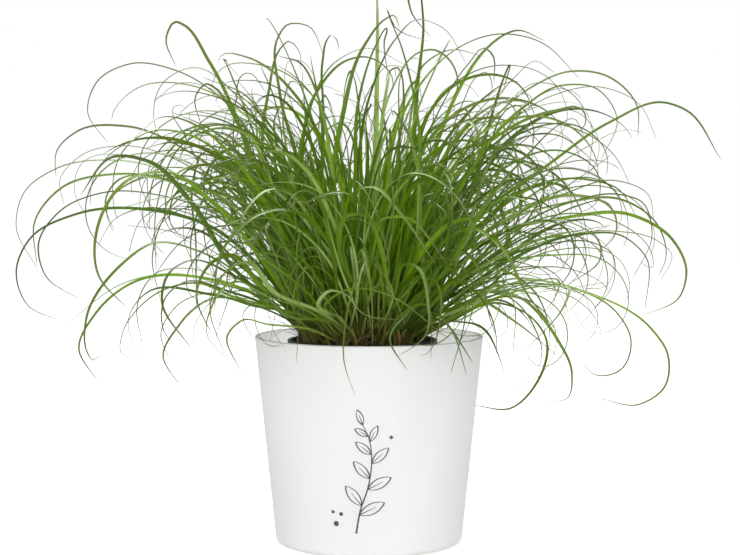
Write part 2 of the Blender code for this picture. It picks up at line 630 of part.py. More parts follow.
def make_shoot(name, foot, leaves, section, finish, home, cutters):
    """One shoot: its sheath on the soil, joined with the blades that rise out of it."""
    mesh = bpy.data.meshes.new(name)
    sheath = bmesh.new()
    bmesh.ops.create_cone(
        sheath,
        cap_ends=True,
        segments=SHEATH_SIDES,
        radius1=SHEATH_FOOT_RADIUS,
        radius2=SHEATH_TOP_RADIUS,
        depth=SHEATH_HEIGHT,
    )
    sheath.to_mesh(mesh)
    sheath.free()
    mesh.materials.append(finish)
    shoot = bpy.data.objects.new(name, mesh)
    shoot.location = Vector(foot) + Vector((0.0, 0.0, SHEATH_HEIGHT / 2))
    home.objects.link(shoot)
    for leaf, stations, half_widths in leaves:
        join = shoot.modifiers.new(leaf.name, "BOOLEAN")
        join.operation = "UNION"
        join.solver = "EXACT"
        join.object = make_blade(leaf, stations, half_widths, section, cutters)
    return shoot


def main():
    for old in list(bpy.data.objects):
        bpy.data.objects.remove(old)
    home = collection("potted_sedge")
    cutters = collection("joined_blades")
    make_pot(home)
    make_nursery_pot(home)
    make_soil(home)
    leaves = all_leaves(LEAVES_ON_SHOOT * sum(count for _, count in RINGS))
    section = blade_section(cutters)
    shoots = shoots_of(leaves)
    for number, mine in enumerate(place_leaves(shoots)):
        name = f"shoot_{number + 1:02d}"
        finish = material(name + "_green", GREEN, 0.42)
        make_shoot(name, shoots[number][0], mine, section, finish, home, cutters)


main()
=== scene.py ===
"""The finished look of a potted umbrella sedge: fine leaves, sheaths, soil, nursery pot and printed cachepot.

Metres, +Z up, and -Y is the front. The frame's shoots carry up to three leaves each. Every one is read back
here from its solid and drawn as a fine folded blade. Finer leaves grow beside it, from side shoots.
"""

import math
import random

import bmesh
import bpy
import numpy as np
from mathutils import Euler, Matrix, Vector, geometry, noise


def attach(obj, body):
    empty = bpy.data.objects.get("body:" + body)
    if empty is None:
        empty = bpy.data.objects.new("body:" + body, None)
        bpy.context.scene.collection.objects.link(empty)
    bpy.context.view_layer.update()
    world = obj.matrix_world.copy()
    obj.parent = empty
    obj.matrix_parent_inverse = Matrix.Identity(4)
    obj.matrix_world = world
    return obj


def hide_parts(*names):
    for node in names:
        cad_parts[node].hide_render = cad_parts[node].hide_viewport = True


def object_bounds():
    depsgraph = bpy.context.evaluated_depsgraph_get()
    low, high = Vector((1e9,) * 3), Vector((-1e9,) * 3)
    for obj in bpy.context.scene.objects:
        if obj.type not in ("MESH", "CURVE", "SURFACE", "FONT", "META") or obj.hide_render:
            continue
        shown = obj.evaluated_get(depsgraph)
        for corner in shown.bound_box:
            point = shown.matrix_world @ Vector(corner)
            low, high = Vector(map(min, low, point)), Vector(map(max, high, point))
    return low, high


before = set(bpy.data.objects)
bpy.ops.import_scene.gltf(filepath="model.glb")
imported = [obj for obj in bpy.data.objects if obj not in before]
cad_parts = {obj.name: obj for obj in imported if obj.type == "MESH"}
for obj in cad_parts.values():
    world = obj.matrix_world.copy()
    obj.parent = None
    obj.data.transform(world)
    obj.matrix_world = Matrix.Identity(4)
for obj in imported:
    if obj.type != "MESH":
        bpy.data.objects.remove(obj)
cad_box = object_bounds()

# The cachepot, as in the frame, the distance within which corners are one, and its rim edge's painted shade
POT_RIM_RADIUS = 0.070
POT_FOOT_RADIUS = 0.0572
POT_HEIGHT = 0.126
POT_WALL = 0.0026
POT_FLOOR = 0.003
POT_FOOT_ROUND = 0.0036
POT_INSIDE_ROUND = 0.003
POT_EDGE_ROUND = 0.0007
POT_SIDES = 192
POT_WELD = 0.00001
RIM_PAINTED_SHADE = (0.42, 0.42, 0.42)
RIM_PAINTED_SHADE_SHARE = 0.65

# The nursery pot, as in the frame, and the gap between one solid and the next. Its edges over NURSERY_SHARP
# degrees are sharp, and so with SOIL_SHARP and BLADE_SHARP.
NURSERY_MIDDLE = Vector((-0.004, 0.0, 0.0))
NURSERY_RIM_RADIUS = 0.046
NURSERY_RIM_DEPTH = 0.007
NURSERY_LIP = 0.0011
NURSERY_FOOT_RADIUS = 0.034
NURSERY_WALL = 0.0012
NURSERY_TOP = 0.1236
NURSERY_EDGE_ROUND = 0.0005
NURSERY_SIDES = 96
NURSERY_SHARP = 50.0
GAP = 0.0003

# The soil: how far its edge lies below the nursery pot's rim, its mound, the rings and sides of its surface,
# and its lumps' height, which grows from its edge in
SOIL_EDGE_DROP = 0.0022
SOIL_MOUND = 0.0040
SOIL_RINGS = 40
SOIL_SIDES = 120
SOIL_SHARP = 40.0
SOIL_LUMP = 0.0009
LUMPS_AT_EDGE = 0.15
LUMPS_GROW = 8

# Coarse and fine lumps: how close their pattern is, their share of the height, and the pattern's layer
LUMPS = ((160, 0.6, 0.0), (520, 0.5, 4.0))

# Loose crumbs: how many, their size, and as shares of it how it varies, their width and height, how far they
# stand out of the soil and how uneven they are
CRUMBS = 900
CRUMB_SIZE = (0.0004, 0.0013)
CRUMB_VARIES = (0.6, 1.0)
CRUMB_WIDTH = (0.5, 1.0)
CRUMB_HEIGHT = (0.4, 0.9)
CRUMB_RAISED = 0.3
CRUMB_UNEVEN = 0.2

# A shoot's sheath in the frame, how far beside it a corner still belongs to it, how far off a blade's tip is
# at least, and the distance within which corners are one
SHEATH_HEIGHT = 0.013
SHEATH_RADIUS = 0.0029
SHEATH_SIDES = 6
BESIDE_SHEATH = 0.0001
SHORTEST_BLADE = 0.03
WELD = 0.000001

# Where a leaf of the frame starts: how far out from its shoot's foot and above it, and how much nearer to the
# clump's middle, as a share of the way there
LEAF_FOOT_OUT = 0.0012
LEAF_FOOT_UP = 0.001
LEAN_IN = 0.14

# The leaves. SEED was picked out of eleven, for draws that come near the photograph. A leaf has a point about
# every LEAF_STEP. Those of the frame are WIDER than their solids, and no greatest half-width is over
# WIDEST_SHARE of the length. The half-width against its greatest is FOOT_WIDTH at the foot, grows until
# OPEN_AT of the length and tapers from TAPER_FROM on, to no less than THREAD.
SEED = 58
LEAF_STEP = 0.0038
WIDER = 1.2
WIDEST_SHARE = 0.009
FOOT_WIDTH = 0.54
OPEN_AT = 0.22
TAPER_FROM = 0.45
TAPER_POWER = 0.68
THREAD = 0.0002

# How far a blade is folded along its midrib, in degrees from flat, at shares of its length from foot to tip;
# how that varies, and its limits; the thickness of its midrib, at least and as a share of its half-width; and
# how much its halves bulge
FOLD_AT = (0.0, 0.06, 0.25, 0.65, 1.0)
FOLD = (62.0, 62.0, 34.0, 20.0, 12.0)
FOLD_VARIES = (0.6, 1.5)
FOLD_LIMITS = (4.0, 74.0)
KEEL_LEAST = 0.00016
KEEL_SHARE = 0.13
BULGE = 0.07
BLADE_SHARP = 75.0

# The unit of the way up a leaf that its colours go by, and how close the veins' pattern is across a blade,
# along it and from one tone to another
RISE_UNIT = 0.1
VEINS_ACROSS = 7.0
VEINS_ALONG = 3.0
VEINS_APART = 90.0

# Finer leaves: three kinds beside leaves of the frame, and a fourth that every shoot has of its own, after
# the tall leaves of any shoot. For each: how many; the share of its pattern's length that it follows; its
# size against that; its width against the pattern's; its turn round the shoot at most; the change of its
# lean; its swing sideways and its twist at most; and its end's curl. Pairs are least and most, angles are
# degrees.
TWIN = (1, (0.85, 1.0), (0.72, 1.02), (0.60, 1.00), 14.0, (-8.0, 6.0), 12.0, 60.0, (-20.0, 90.0))
THIN = (1, (0.80, 1.0), (0.70, 1.05), (0.30, 0.60), 34.0, (-20.0, 6.0), 45.0, 160.0, (20.0, 200.0))
SHORT = (1, (0.30, 0.55), (0.80, 1.05), (0.60, 1.05), 40.0, (-9.0, 9.0), 25.0, 90.0, (-15.0, 35.0))
TALL = (6, (0.72, 1.0), (0.66, 1.02), (0.30, 1.10), 44.0, (-10.0, 10.0), 40.0, 120.0, (0.0, 110.0))

# Twins and short leaves grow beside leaves of these lengths or more, and thin ones beside leaves that end
# this far out; no twin or thin leaf beside one that ends left of these places. Tall leaves' patterns rise
# over TALL_FROM.
TWIN_BESIDE = 0.165
TWIN_LEFT = -0.12
THIN_BESIDE = 0.125
THIN_LEFT = -0.10
SHORT_BESIDE = 0.19
TALL_FROM = 0.25

# A finer leaf's end curls from CURL_FROM of its length on. It waves this far to the side, over so many
# radians. Curl, swing and wave grow by powers of the share of the length.
CURL_FROM = 0.5
CURL_POWER = 1.6
SWING_POWER = 1.5
WAVE = (0.001, 0.005)
WAVES = (2.0, 6.0)
WAVE_START = (0.0, 6.0)
WAVE_POWER = 1.3

# Straight up, and what keeps a direction from having no length at all
UP = np.array((0.0, 0.0, 1.0))
NEARLY_NONE = 1e-9

# For the way that a shoot's own leaves lean, its place along Y counts by SIDEWAYS against its place along X.
# Then how often a finer leaf is tried; how far a leaf of the frame twists at most, in degrees; the shoots'
# tones, from dark to pale; and how a leaf's tone varies about its shoot's
SIDEWAYS = 0.38
COMPANION_TRIES = 12
OWN_TWIST = 110.0
SHOOT_TONE = (0.15, 0.85)
TONE_VARIES = 0.36

# Finer leaves stay clear of the pots, rise over the rim at no less than this slope until they are well past
# it, and keep inside a dome. They hang no lower than LOWEST_TIP, or than LOWEST_IN_FRONT before the pot.
CLEAR_OF_POT = 0.0006
SLOPE_OVER_RIM = 0.6
PAST_RIM = 0.087
DOME_RADIUS = 0.215
DOME_HEIGHT = 0.187
DOME_POWER = 2.4
LOWEST_TIP = 0.075
LOWEST_IN_FRONT = 0.120

# Side shoots, which carry a shoot's finer leaves: how many, how far from it and from the soil's edge, and how
# often one that has no room grows from the shoot's own foot
SIDE_SHOOTS = 3
SIDE_SHOOT_AWAY = (0.0028, 0.0050)
SIDE_SHOOT_INSIDE = 0.0045
SIDE_SHOOT_AT_FOOT = 0.05

# The sheaths' stems: sides and rings; a side shoot's radius and height, and the main one's radius; how they
# narrow; their three corners and their ribs; and what share of them is brown, and how much
STEM_SIDES = 12
STEM_RINGS = 8
STEM_RADIUS = (0.0007, 0.0012)
STEM_HEIGHT = (0.010, 0.024)
MAIN_STEM_RADIUS = 0.0015
STEM_TAPER = 0.45
STEM_TAPER_POWER = 1.5
STEM_CORNERS = 3
CORNER_DEPTH = 0.12
STEM_RIBS = 7
RIB_DEPTH = 0.05
BROWN_STEMS = 0.2
BROWNNESS = (0.4, 0.9)

# Old brown scales and dry threads round each shoot's foot. For each kind: how many, length, half-width, and
# lean and bend in degrees. For both: their points, where they start as a share of the main stem's radius, and
# how dry they are
SCALES = ((0, 1), (0.010, 0.026), (0.0006, 0.0014), (4.0, 26.0), (0.0, 40.0))
THREADS = ((1, 4), (0.014, 0.042), (0.00013, 0.00024), (8.0, 60.0), (10.0, 170.0))
DRY_POINTS = 10
DRY_FOOT_OUT = 0.8
DRYNESS = (0.75, 1.0)

# The photograph's camera: its place, how far it looks down in radians, and in pixels its focal length, its
# picture's width and the column of the pot's axis. SENSOR is in millimetres.
CAMERA_DISTANCE = 1.063
CAMERA_HEIGHT = 0.2275
CAMERA_DOWN = 0.0621
FOCAL = 1738.0
PICTURE_WIDTH = 740
SENSOR = 36.0
AXIS_COLUMN = 369.0

# The studio: how far the floor goes, its glow, and its painted contact shadow, which is how much of the glow
# is lost at the pot's foot and how far out; the surround's strength at the horizon and overhead; the
# softboxes' aim; and each one's name, place, width, height and power in watts
FLOOR_REACH = 30.0
FLOOR_GLOW = 0.95
CONTACT_SHADOW = 0.40
CONTACT_REACH = 0.006
SURROUND_LOW = 0.34
SURROUND_HIGH = 0.66
WHITE = (1.0, 1.0, 1.0)
LIT_POINT = (0.0, 0.0, 0.15)
SOFTBOXES = (
    ("light_above", (0.0, -0.2, 1.9), 1.4, 1.4, 29.0),
    ("light_front", (-0.15, -2.4, 0.75), 1.2, 1.2, 52.0),
    ("light_behind", (0.0, 1.3, 1.7), 1.6, 1.2, 98.0),
)


def placed(name, data):
    """A new object in the scene."""
    made = bpy.data.objects.new(name, data)
    bpy.context.scene.collection.objects.link(made)
    return made


def in_scene(name, mesh, *finishes):
    """A piece of the object that stands still with the pot."""
    for finish in finishes:
        mesh.materials.append(finish)
    made = placed(name, mesh)
    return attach(made, "root")


def unit(vectors):
    return vectors / np.linalg.norm(vectors, axis=-1, keepdims=True)


def arc(middle_x, middle_z, radius, start, end, steps):
    """Points of an arc from one angle to another, in degrees from +X towards +Z."""
    angles = [math.radians(start + (end - start) * i / steps) for i in range(steps + 1)]
    return [(middle_x + radius * math.cos(a), middle_z + radius * math.sin(a)) for a in angles]


class Nodes:
    """The nodes of a material or of the world, made one after the other."""

    # The Mix node's places of its share and its two colours, and of the colour that it gives
    MIX_TAKES = (0, 6, 7)
    MIX_GIVES = 2

    def __init__(self, tree):
        self.tree = tree

    def put(self, node, socket, value):
        """Links an input of the node to a socket, or sets it to a number or a colour."""
        if isinstance(value, bpy.types.NodeSocket):
            self.tree.links.new(value, node.inputs[socket])
        elif isinstance(value, tuple):
            node.inputs[socket].default_value = (*value, 1.0)
        else:
            node.inputs[socket].default_value = value

    def node(self, kind, settings=(), **inputs):
        made = self.tree.nodes.new("ShaderNode" + kind)
        for name, value in dict(settings).items():
            setattr(made, name, value)
        for name, value in inputs.items():
            self.put(made, name.replace("_", " "), value)
        return made

    def blended(self, share, one, other):
        """One surface or light and another, by the share of the other."""
        made = self.node("MixShader")
        for index, value in enumerate((share, one.outputs[0], other.outputs[0])):
            self.put(made, index, value)
        return made.outputs[0]


class Shader(Nodes):
    """A material with its nodes."""

    def __init__(self, name):
        self.material = bpy.data.materials.new(name)
        self.material.use_nodes = True
        super().__init__(self.material.node_tree)
        self.surface = self.tree.nodes["Principled BSDF"]
        self.output = self.tree.nodes["Material Output"]

    def finish(self, **inputs):
        for name, value in inputs.items():
            self.put(self.surface, name.replace("_", " "), value)

    def attribute(self, name):
        return self.node("Attribute", {"attribute_name": name}).outputs["Fac"]

    def math(self, operation, *values):
        made = self.node("Math", {"operation": operation})
        for index, value in enumerate(values):
            self.put(made, index, value)
        return made.outputs["Value"]

    def ramp(self, value, low, high, to_low=0.0, to_high=1.0):
        """The value, eased from one range to another."""
        ends = {"From_Min": low, "From_Max": high, "To_Min": to_low, "To_Max": to_high}
        made = self.node("MapRange", {"interpolation_type": "SMOOTHSTEP"}, Value=value, **ends)
        return made.outputs["Result"]

    def mixed(self, share, one, other):
        """One colour or the other, by the share of the other."""
        made = self.node("Mix", {"data_type": "RGBA"})
        for index, value in zip(self.MIX_TAKES, (share, one, other)):
            self.put(made, index, value)
        return made.outputs[self.MIX_GIVES]

    def noise(self, scale, detail, vector=None):
        if vector is None:
            vector = self.node("TexCoord").outputs["Object"]
        return self.node("TexNoise", Scale=scale, Detail=detail, Vector=vector).outputs["Fac"]

    def bump(self, height, strength, distance):
        made = self.node("Bump", Height=height, Strength=strength, Distance=distance)
        self.put(self.surface, "Normal", made.outputs["Normal"])

    def see_through(self, share, colour):
        """Light passes diffusely through the surface, in a share of it."""
        glow = self.node("BsdfTranslucent", Color=colour)
        self.put(self.output, "Surface", self.blended(share, self.surface, glow))


def leaf_finish():
    """Fresh leaf, coloured from base to tip and from midrib to edge, each leaf in a tone of its own. The
    palest leaves carry a painted sheen, and painted shade darkens the leaves' feet.
    """
    shader = Shader("leaf_green")
    along = shader.attribute("along")
    across = shader.attribute("across")
    tone = shader.attribute("tone")
    dry = shader.attribute("dry")
    rise = shader.attribute("rise")
    off_middle = shader.math("ABSOLUTE", across)
    vein_place = shader.node(
        "CombineXYZ",
        X=shader.math("MULTIPLY", across, VEINS_ACROSS),
        Y=shader.math("MULTIPLY", rise, VEINS_ALONG),
        Z=shader.math("MULTIPLY", tone, VEINS_APART),
    )
    veins = shader.noise(1.0, 2.0, vein_place.outputs["Vector"])
    mottle = shader.noise(70.0, 3.0)

    green = shader.mixed(tone, (0.024, 0.070, 0.001), (0.226, 0.390, 0.002))
    green = shader.mixed(shader.ramp(mottle, 0.35, 0.7, 0.0, 0.35), green, (0.054, 0.142, 0.001))
    green = shader.mixed(shader.ramp(veins, 0.35, 0.72, 0.0, 0.40), green, (0.205, 0.335, 0.008))
    green = shader.mixed(shader.ramp(off_middle, 0.22, 0.02, 0.0, 0.35), green, (0.260, 0.380, 0.030))
    # Painted sheen: the palest leaves are mixed towards a pale grey-green, as a waxy leaf looks where it
    # catches the light.
    green = shader.mixed(shader.ramp(tone, 0.84, 1.0, 0.0, 0.75), green, (0.340, 0.450, 0.150))
    ageing = shader.ramp(along, 0.42, 1.0, 0.0, 0.8)
    green = shader.mixed(ageing, green, (0.090, 0.110, 0.032))
    # Lower down a leaf turns olive, and at its foot reddish brown, as its sheath is. Both colours are made
    # darker than the leaf's own to paint the shade between the stems near the soil.
    olive = shader.mixed(shader.ramp(tone, 0.2, 0.8), (0.036, 0.044, 0.009), (0.185, 0.225, 0.036))
    low_olive_and_shade = shader.mixed(shader.ramp(rise, 0.50, 0.12, 0.0, 0.75), green, olive)
    reddish = shader.mixed(shader.ramp(veins, 0.35, 0.65), (0.085, 0.030, 0.016), (0.125, 0.115, 0.036))
    foot = shader.mixed(shader.ramp(rise, 0.14, 0.03, 0.0, 0.7), low_olive_and_shade, reddish)
    straw = shader.mixed(tone, (0.070, 0.038, 0.018), (0.330, 0.230, 0.085))
    straw = shader.mixed(shader.ramp(veins, 0.4, 0.7, 0.0, 0.6), straw, (0.065, 0.030, 0.018))
    colour = shader.mixed(dry, foot, straw)

    rough = shader.ramp(veins, 0.3, 0.8, 0.34, 0.48)
    shader.finish(Base_Color=colour, Roughness=rough, Specular_IOR_Level=0.3)
    shader.bump(veins, 0.25, 0.0002)
    through = shader.mixed(ageing, (0.345, 0.580, 0.002), (0.270, 0.345, 0.060))
    through = shader.mixed(dry, through, (0.27, 0.15, 0.05))
    shader.see_through(0.38, shader.mixed(0.5, through, colour))
    return shader.material


def pot_finish():
    """Glossy white plastic that lets light through, slightly uneven, and greyed along its rim's edge by
    painted shade.
    """
    shader = Shader("pot_white")
    wave = shader.noise(24.0, 2.0)
    split = shader.node("SeparateXYZ", Vector=shader.node("TexCoord").outputs["Object"])
    edge_from = POT_HEIGHT - POT_EDGE_ROUND
    edge_to = POT_HEIGHT - POT_EDGE_ROUND / 3
    # Painted shade: the rim's rounded edge is greyed, both in its colour and in the light that passes through
    # it.
    painted_rim_shade = shader.ramp(split.outputs["Z"], edge_from, edge_to, 0.0, RIM_PAINTED_SHADE_SHARE)
    white = shader.mixed(shader.ramp(wave, 0.3, 0.7), (0.930, 0.933, 0.930), (0.950, 0.953, 0.950))
    shader.finish(
        Base_Color=shader.mixed(painted_rim_shade, white, RIM_PAINTED_SHADE),
        Roughness=shader.ramp(shader.noise(160.0, 3.0), 0.3, 0.7, 0.11, 0.17),
        Specular_IOR_Level=0.5,
    )
    shader.bump(wave, 0.12, 0.0006)
    shader.see_through(0.62, shader.mixed(painted_rim_shade, (0.97, 0.97, 0.965), RIM_PAINTED_SHADE))
    return shader.material


def ink_finish():
    """Dark grey ink, a little worn."""
    shader = Shader("print_grey")
    worn = shader.noise(900.0, 2.0)
    shader.finish(
        Base_Color=shader.mixed(shader.ramp(worn, 0.35, 0.75), (0.028, 0.028, 0.031), (0.060, 0.060, 0.064)),
        Roughness=shader.ramp(worn, 0.3, 0.7, 0.28, 0.40),
    )
    return shader.material


def nursery_finish():
    """Thin black plastic, dusty with soil in patches."""
    shader = Shader("nursery_black")
    dust = shader.noise(110.0, 5.0)
    dusty = shader.ramp(dust, 0.52, 0.75, 0.0, 0.6)
    shader.finish(
        Base_Color=shader.mixed(dusty, (0.014, 0.014, 0.014), (0.075, 0.060, 0.045)),
        Roughness=shader.ramp(dust, 0.3, 0.7, 0.38, 0.72),
    )
    shader.bump(shader.noise(500.0, 4.0), 0.3, 0.0003)
    return shader.material


def soil_finish():
    """Moist potting soil: nearly black, with brown and straw-coloured bits."""
    shader = Shader("soil_dark")
    bits = shader.noise(420.0, 6.0)
    clods = shader.noise(130.0, 4.0)
    brown = shader.mixed(shader.ramp(clods, 0.35, 0.65), (0.012, 0.008, 0.006), (0.050, 0.030, 0.018))
    colour = shader.mixed(shader.ramp(bits, 0.60, 0.74, 0.0, 0.8), brown, (0.150, 0.095, 0.050))
    rough = shader.ramp(clods, 0.3, 0.7, 0.80, 0.97)
    shader.finish(Base_Color=colour, Roughness=rough, Specular_IOR_Level=0.25)
    shader.bump(bits, 0.8, 0.0008)
    return shader.material


def lathed(profile, sides, middle=Vector((0.0, 0.0, 0.0))):
    """(points, faces) of a profile of (radius, height) that is turned round an upright axis."""
    points = []
    faces = []
    rings = []
    for radius, z in profile:
        if radius == 0:
            rings.append([len(points)] * sides)
            points.append((middle.x, middle.y, z))
            continue
        rings.append(list(range(len(points), len(points) + sides)))
        for i in range(sides):
            angle = math.tau * i / sides
            points.append((middle.x + radius * math.cos(angle), middle.y + radius * math.sin(angle), z))
    for above, below in zip(rings, rings[1:]):
        for i in range(sides):
            j = (i + 1) % sides
            corners = (above[i], below[i], below[j], above[j])
            faces.append(tuple(dict.fromkeys(corners)))
    return points, faces


def added(work, points, faces):
    """The new faces, once the points and faces are added to the mesh at work."""
    corners = [work.verts.new(p) for p in points]
    return [work.faces.new([corners[i] for i in face]) for face in faces]


def pot_wall_radius(z):
    """The cachepot's outer radius at a height, on its straight side."""
    return POT_FOOT_RADIUS + (POT_RIM_RADIUS - POT_FOOT_RADIUS) * z / POT_HEIGHT


# The print on the cachepot, a sprig, with places as (across, height) on the wall in front. Each leaf has its
# place along the stem, side, spread in degrees, length and width, and each berry its place and radius.
SPRIG_STEM = (
    (-0.0075, 0.0150),
    (-0.0050, 0.0290),
    (-0.0005, 0.0430),
    (0.0015, 0.0570),
    (0.0005, 0.0700),
    (-0.0035, 0.0800),
)
SPRIG_STEM_WIDTH = (0.0011, 0.0005)
SPRIG_STEM_STEPS = 6
SPRIG_LEAVES = (
    (0.16, 1, 52.0, 0.0165, 0.0062),
    (0.24, -1, 58.0, 0.0150, 0.0058),
    (0.38, 1, 48.0, 0.0155, 0.0058),
    (0.47, -1, 52.0, 0.0140, 0.0052),
    (0.60, 1, 46.0, 0.0135, 0.0050),
    (0.68, -1, 48.0, 0.0118, 0.0044),
    (0.80, 1, 40.0, 0.0105, 0.0038),
    (0.86, -1, 40.0, 0.0090, 0.0034),
    (1.00, 1, 2.0, 0.0095, 0.0036),
)
OUTLINE_WIDTH = (0.0009, 0.0004)
OUTLINE_STEPS = 12
OUTLINE_POWER = 0.8
VEIN_WIDTH = (OUTLINE_WIDTH[0] * 0.8, OUTLINE_WIDTH[1] * 0.6)
VEIN_FROM = 0.04
VEIN_SPAN = 0.62
VEIN_STEPS = 4
BERRIES = (
    (-0.0195, 0.0205, 0.0016),
    (-0.0165, 0.0265, 0.0012),
    (-0.0215, 0.0275, 0.0010),
    (0.0130, 0.0725, 0.0011),
)
BERRY_SIDES = 20

# The wall's division gives the faces inside its outlines, and takes points this near as one
FACES_INSIDE = 1
SAME_POINT = 1e-7


def bent(points, steps):
    """Close points of a smooth curve through the points given."""
    points = [Vector(p) for p in points]
    points = [2 * points[0] - points[1], *points, 2 * points[-1] - points[-2]]
    found = []
    for a, b, c, d in zip(points, points[1:], points[2:], points[3:]):
        for i in range(steps):
            t = i / steps
            squared = (2 * a - 5 * b + 4 * c - d) * t**2
            cubed = (3 * b - a - 3 * c + d) * t**3
            found.append(0.5 * (2 * b + (c - a) * t + squared + cubed))
    return [*found, points[-2]]


def stroke(points, widths):
    """The outline of a stroke along the points, whose width goes from the first of widths to the last."""
    left = []
    right = []
    count = len(points)
    for i, point in enumerate(points):
        way = (points[min(i + 1, count - 1)] - points[max(i - 1, 0)]).normalized()
        share = i / (count - 1)
        half = (widths[0] + (widths[1] - widths[0]) * share) / 2
        side = Vector((-way.y, way.x)) * half
        left.append(point + side)
        right.append(point - side)
    return right + left[::-1]


def sprig():
    """Outlines of everything that is printed, on the unrolled wall."""
    stem = bent(SPRIG_STEM, SPRIG_STEM_STEPS)
    shapes = [stroke(stem, SPRIG_STEM_WIDTH)]
    for share, side, spread, length, width in SPRIG_LEAVES:
        at = share * (len(stem) - 1)
        low = min(int(at), len(stem) - 2)
        foot = stem[low].lerp(stem[low + 1], at - low)
        along = (stem[low + 1] - stem[low]).normalized()
        along.rotate(Matrix.Rotation(-side * math.radians(spread), 2))
        across = Vector((-along.y, along.x))
        for edge in (1, -1):
            rim = []
            for i in range(OUTLINE_STEPS + 1):
                t = i / OUTLINE_STEPS
                out = across * edge * width / 2 * math.sin(math.pi * t) ** OUTLINE_POWER
                rim.append(foot + along * length * t + out)
            shapes.append(stroke(rim, OUTLINE_WIDTH if edge == side else OUTLINE_WIDTH[::-1]))
        shares = [VEIN_FROM + VEIN_SPAN * i / VEIN_STEPS for i in range(VEIN_STEPS + 1)]
        shapes.append(stroke([foot + along * length * share for share in shares], VEIN_WIDTH))
    for x, z, radius in BERRIES:
        turn = [math.tau * i / BERRY_SIDES for i in range(BERRY_SIDES)]
        shapes.append([Vector((x + radius * math.cos(a), z + radius * math.sin(a))) for a in turn])
    return shapes


def make_pot():
    """The cachepot. The print's outlines are edges of its straight wall, so that the print is only colour."""
    top_z = POT_HEIGHT - POT_EDGE_ROUND
    inside = pot_wall_radius(POT_FLOOR) - POT_WALL - POT_INSIDE_ROUND
    foot = pot_wall_radius(POT_FOOT_ROUND) - POT_FOOT_ROUND
    upper = [(0.0, POT_FLOOR)]
    upper += arc(inside, POT_FLOOR + POT_INSIDE_ROUND, POT_INSIDE_ROUND, -90, 0, 6)
    upper += arc(POT_RIM_RADIUS - POT_WALL + POT_EDGE_ROUND, top_z, POT_EDGE_ROUND, 180, 90, 5)
    upper += arc(POT_RIM_RADIUS - POT_EDGE_ROUND, top_z, POT_EDGE_ROUND, 90, 0, 5)
    lower = arc(foot, POT_FOOT_ROUND, POT_FOOT_ROUND, 0, -90, 8) + [(0.0, 0.0)]
    top_radius = upper[-1][0]
    low_radius, low_z = lower[0]

    def on_wall(angle, z):
        radius = low_radius + (top_radius - low_radius) * (z - low_z) / (top_z - low_z)
        return Vector((radius * math.sin(angle), -radius * math.cos(angle), z))

    angles = [math.pi * (2 * i / POT_SIDES - 1) for i in range(POT_SIDES + 1)]
    flat = [Vector((a, z)) for z in (low_z, top_z) for a in angles]
    count = len(angles)
    panels = [(i, i + 1, count + i + 1, count + i) for i in range(POT_SIDES)]
    outlines = []
    for shape in sprig():
        outlines.append(tuple(range(len(flat), len(flat) + len(shape))))
        flat += [Vector((x / pot_wall_radius(z), z)) for x, z in shape]
    scaled = [Vector((p.x * POT_RIM_RADIUS, p.y)) for p in flat]
    divided = geometry.delaunay_2d_cdt(scaled, [], panels + outlines, FACES_INSIDE, SAME_POINT)
    found, _, faces, _, _, sources = divided
    wall = [on_wall(p.x / POT_RIM_RADIUS, p.y) for p in found]
    inked = [any(i >= POT_SIDES for i in came_from) for came_from in sources]

    work = bmesh.new()
    for face, is_ink in zip(added(work, wall, faces), inked):
        face.material_index = int(is_ink)
    turn = Matrix.Rotation(-math.pi / 2, 3, "Z")
    for profile in (upper, lower):
        points, faces = lathed(profile, POT_SIDES)
        added(work, [turn @ Vector(p) for p in points], faces)
    bmesh.ops.remove_doubles(work, verts=work.verts, dist=POT_WELD)
    bmesh.ops.recalc_face_normals(work, faces=work.faces)
    mesh = bpy.data.meshes.new("cachepot")
    work.to_mesh(mesh)
    work.free()
    mesh.shade_smooth()
    pot = in_scene("cachepot", mesh, pot_finish(), ink_finish())
    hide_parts("pot")


def nursery_radius(z):
    """The nursery pot's outer radius at a height, below its rim."""
    top = NURSERY_RIM_RADIUS - NURSERY_LIP
    foot_z = POT_FLOOR + GAP
    return NURSERY_FOOT_RADIUS + (top - NURSERY_FOOT_RADIUS) * (z - foot_z) / (NURSERY_TOP - foot_z)


def make_nursery_pot():
    """The nursery pot, a tapered shell whose rim is folded out and down."""
    foot_z = POT_FLOOR + GAP
    floor_z = foot_z + NURSERY_WALL
    lip_z = NURSERY_TOP - NURSERY_RIM_DEPTH
    round_off = NURSERY_EDGE_ROUND
    inside = nursery_radius(NURSERY_TOP) - NURSERY_WALL
    profile = [
        (0.0, floor_z),
        (nursery_radius(floor_z) - NURSERY_WALL, floor_z),
        *arc(inside + round_off, NURSERY_TOP - round_off, round_off, 180, 90, 4),
        *arc(NURSERY_RIM_RADIUS - round_off, NURSERY_TOP - round_off, round_off, 90, 0, 4),
        *arc(NURSERY_RIM_RADIUS - round_off, lip_z + round_off, round_off, 0, -90, 3),
        (nursery_radius(lip_z), lip_z),
        (nursery_radius(lip_z), lip_z - NURSERY_LIP),
        *arc(nursery_radius(foot_z) - round_off, foot_z + round_off, round_off, 0, -90, 3),
        (0.0, foot_z),
    ]
    points, faces = lathed(profile, NURSERY_SIDES, NURSERY_MIDDLE)
    mesh = bpy.data.meshes.new("growing_pot")
    mesh.from_pydata(points, [], faces)
    mesh.shade_smooth()
    mesh.set_sharp_from_angle(angle=math.radians(NURSERY_SHARP))
    pot = in_scene("growing_pot", mesh, nursery_finish())
    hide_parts("nursery_pot")


def soil_radius(z):
    """The soil's radius at a height, inside the nursery pot."""
    return nursery_radius(z) - NURSERY_WALL - GAP


